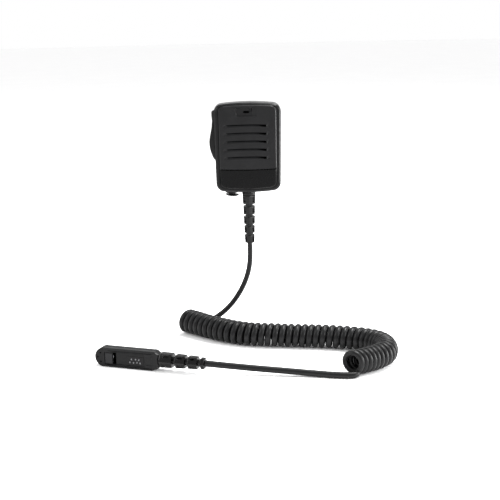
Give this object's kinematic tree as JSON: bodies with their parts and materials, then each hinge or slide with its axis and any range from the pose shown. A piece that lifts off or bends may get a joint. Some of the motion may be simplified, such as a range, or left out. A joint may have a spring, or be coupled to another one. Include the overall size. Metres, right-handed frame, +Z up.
{
  "type": "hand microphone",
  "caption": "Speaker microphone head with push-to-talk bar, slotted grille and rear lapel clip, on a curly cord ending in a side connector.",
  "frame": {"origin": "on the rear face of the head, on the axis about which the lapel clip swivels", "axes": "+Z up along the head, away from the cord entry; +Y out of the head's rear face, so the grille faces -Y; +X to the right as seen from the front"},
  "size_m": [0.2585, 0.1716, 0.2133],
  "materials": {
    "case_plastic": "fine textured black",
    "panel_plastic": "fine textured black, a little smoother",
    "seal_rubber": "matte",
    "steel": "blackened",
    "cloth": "woven black",
    "magnet": "zinc plated",
    "paper": "pressed paper",
    "aluminium": "satin",
    "board": "solder mask",
    "chip": "moulded",
    "jack_plastic": "moulded",
    "relief_rubber": "moulded, slight sheen",
    "cord_jacket": "satin jacket",
    "connector_plastic": "fine textured black",
    "nose_plastic": "fine textured black",
    "plate_plastic": "smooth black",
    "spring_steel": "bright",
    "contact_gold": "gold plated",
    "ptt_rubber": "ribbed, matte",
    "cap_rubber": "satin",
    "clip_plastic": "textured black",
    "latch_plastic": "smooth dark grey"
  },
  "bodies": {
    "housing": {"front_cover": "case_plastic", "rear_cover": "case_plastic", "case_gasket": "seal_rubber", "case_screws": "steel", "grille_panel": "panel_plastic", "lower_panel": "panel_plastic", "grille_cloth": "cloth", "speaker_gasket": "seal_rubber", "speaker_frame": "steel", "speaker_magnet": "magnet", "speaker_cone": "paper", "mic_boot": "seal_rubber", "mic_capsule": "aluminium", "main_board": "board", "audio_chip": "chip", "ptt_switch": "chip", "ptt_board": "board", "earpiece_jack": "jack_plastic", "jack_bezel": "case_plastic", "jack_cap_pin": "steel", "head_strain_relief": "relief_rubber", "cord_clamp": "steel", "clamp_screws": "steel", "cord_head_tail": "cord_jacket", "cord_coil": "cord_jacket", "cord_connector_tail": "cord_jacket", "connector_strain_relief": "relief_rubber", "connector_shell": "connector_plastic", "connector_base": "connector_plastic", "connector_nose": "nose_plastic", "connector_side_plate": "plate_plastic", "connector_latch_spring": "spring_steel", "connector_board": "board", "connector_contacts": "contact_gold", "connector_guide_pegs": "steel"},
    "ptt_bar": {"ptt_button": "ptt_rubber", "ptt_frame": "case_plastic", "ptt_plunger": "jack_plastic"},
    "jack_cover": {"jack_cap": "cap_rubber"},
    "clip_swivel": {"clip_base": "clip_plastic", "clip_washer": "steel", "clip_swivel_screw": "steel", "clip_hinge_pin": "steel", "clip_spring": "spring_steel"},
    "clip_lever": {"clip_jaw": "clip_plastic"},
    "latch": {"connector_latch": "latch_plastic"}
  },
  "joints": [
    {"name": "ptt_press", "type": "slide", "parent": "housing", "child": "ptt_bar", "axis": [1, 0, 0], "range_m": [0, 0.0012], "stiffness_N_per_m": 1500, "springref_m": -0.0004},
    {"name": "jack_cap_hinge", "type": "hinge", "parent": "housing", "child": "jack_cover", "pos_m": [-0.0153, -0.0066, -0.046], "axis": [1, 0, 0], "range_deg": [0, 110]},
    {"name": "clip_turn", "type": "hinge", "parent": "housing", "child": "clip_swivel", "pos_m": [0, 0, 0], "axis": [0, 1, 0], "continuous": true},
    {"name": "clip_open", "type": "hinge", "parent": "clip_swivel", "child": "clip_lever", "pos_m": [0, 0.007, 0.012], "axis": [1, 0, 0], "range_deg": [0, 22], "stiffness_Nm_per_rad": 0.3, "springref_deg": -34.38},
    {"name": "latch_press", "type": "slide", "parent": "housing", "child": "latch", "axis": [0.3256, 0.9455, 0], "range_m": [0, 0.0012], "stiffness_N_per_m": 1500, "springref_m": -0.0004}
  ]
}
